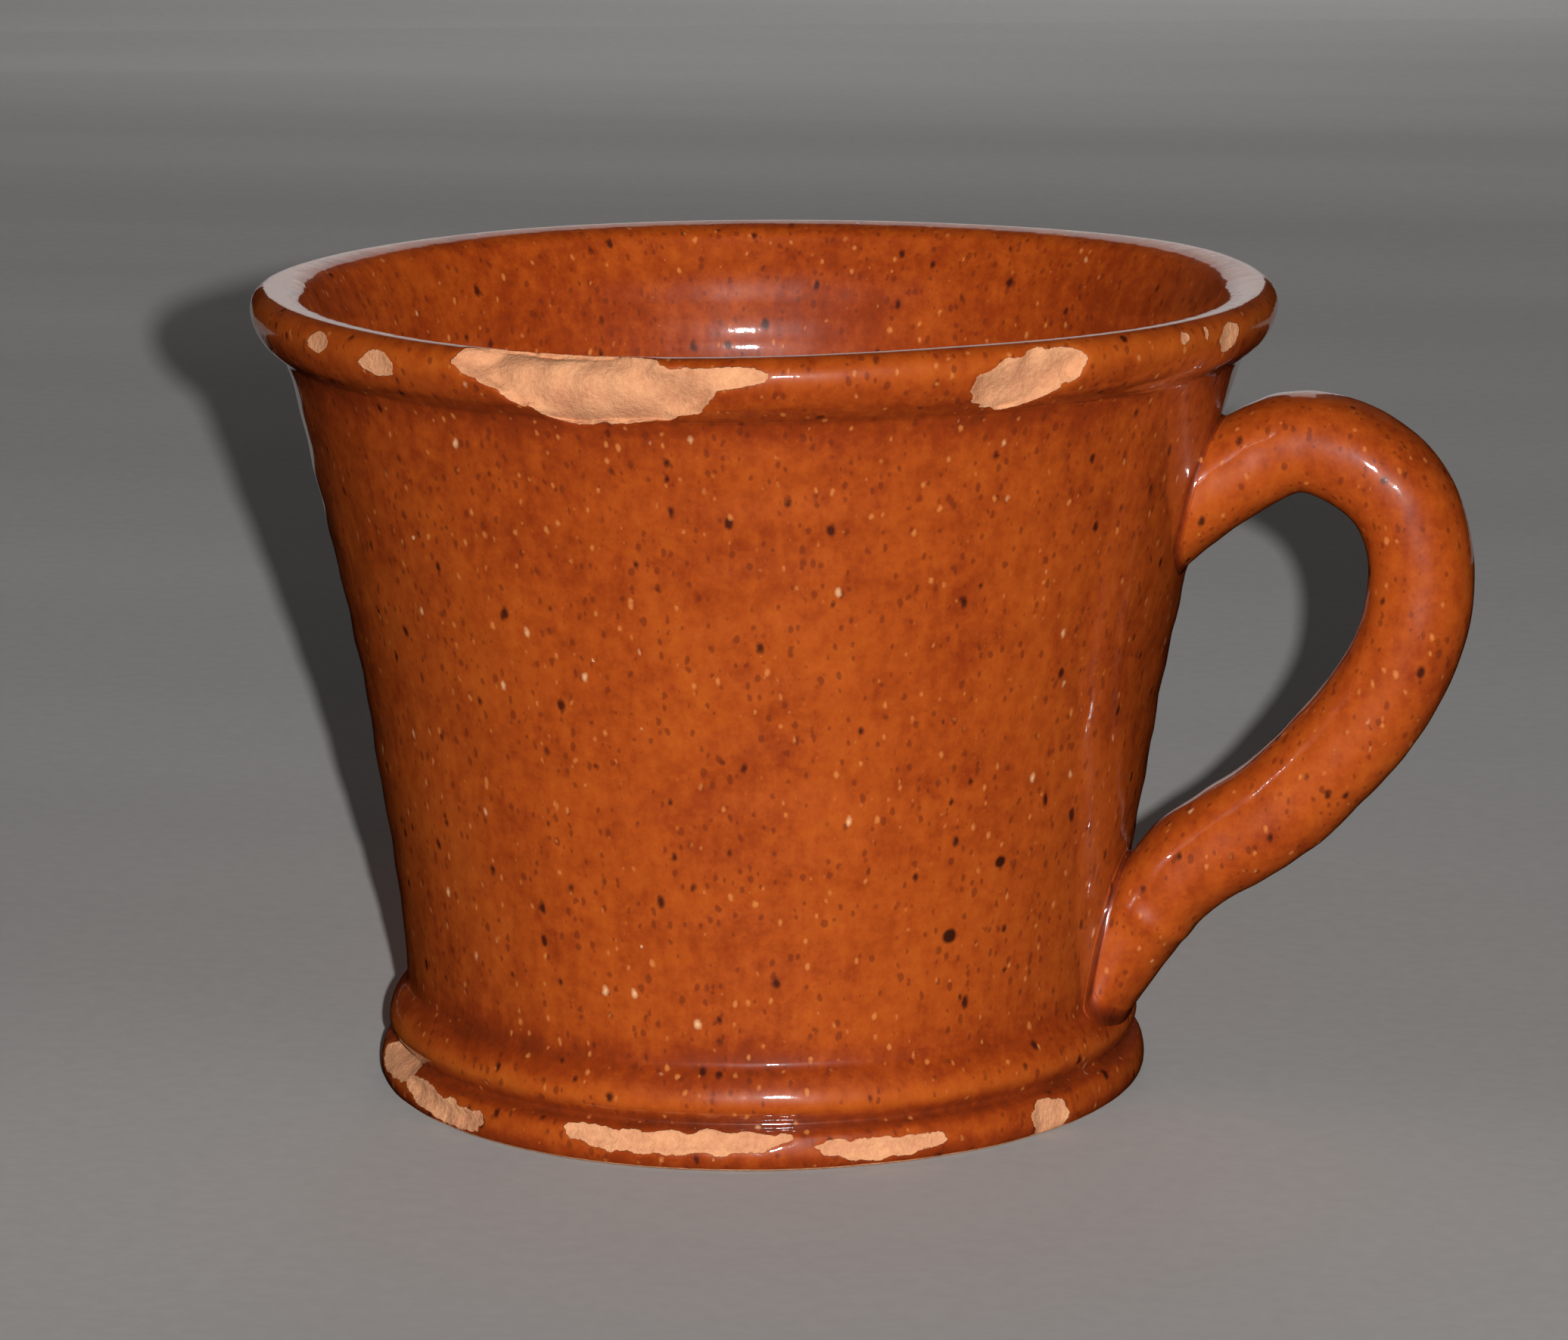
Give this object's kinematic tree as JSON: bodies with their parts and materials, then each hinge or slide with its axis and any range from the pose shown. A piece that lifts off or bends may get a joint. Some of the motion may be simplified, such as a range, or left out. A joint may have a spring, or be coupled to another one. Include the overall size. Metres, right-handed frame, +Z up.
{
  "type": "shaving mug",
  "caption": "Redware shaving mug with a flared body, a rolled lip, a beaded foot, a pulled loop handle and a small soap cup inside the wall.",
  "frame": {"origin": "centre of the foot's underside, on the surface that the mug stands on", "axes": "+Z up along the axis the body was thrown about; +X towards the handle; the soap cup is on -Y"},
  "size_m": [0.1299, 0.1072, 0.0856],
  "materials": {
    "fired_clay": "unglazed buff-orange earthenware, rough and slightly granular where it is chipped",
    "fired_slip": "the same clay as wiped slip, smooth",
    "lead_glaze": "glossy amber-brown lead glaze with fine dark iron specks"
  },
  "bodies": {
    "root": {"thrown_body": "fired_clay", "handle": "fired_clay", "upper_handle_lute": "fired_slip", "lower_handle_lute": "fired_slip", "soap_cup": "lead_glaze", "soap_cup_lute": "lead_glaze", "body_glaze": "lead_glaze", "handle_glaze": "lead_glaze"}
  },
  "joints": []
}
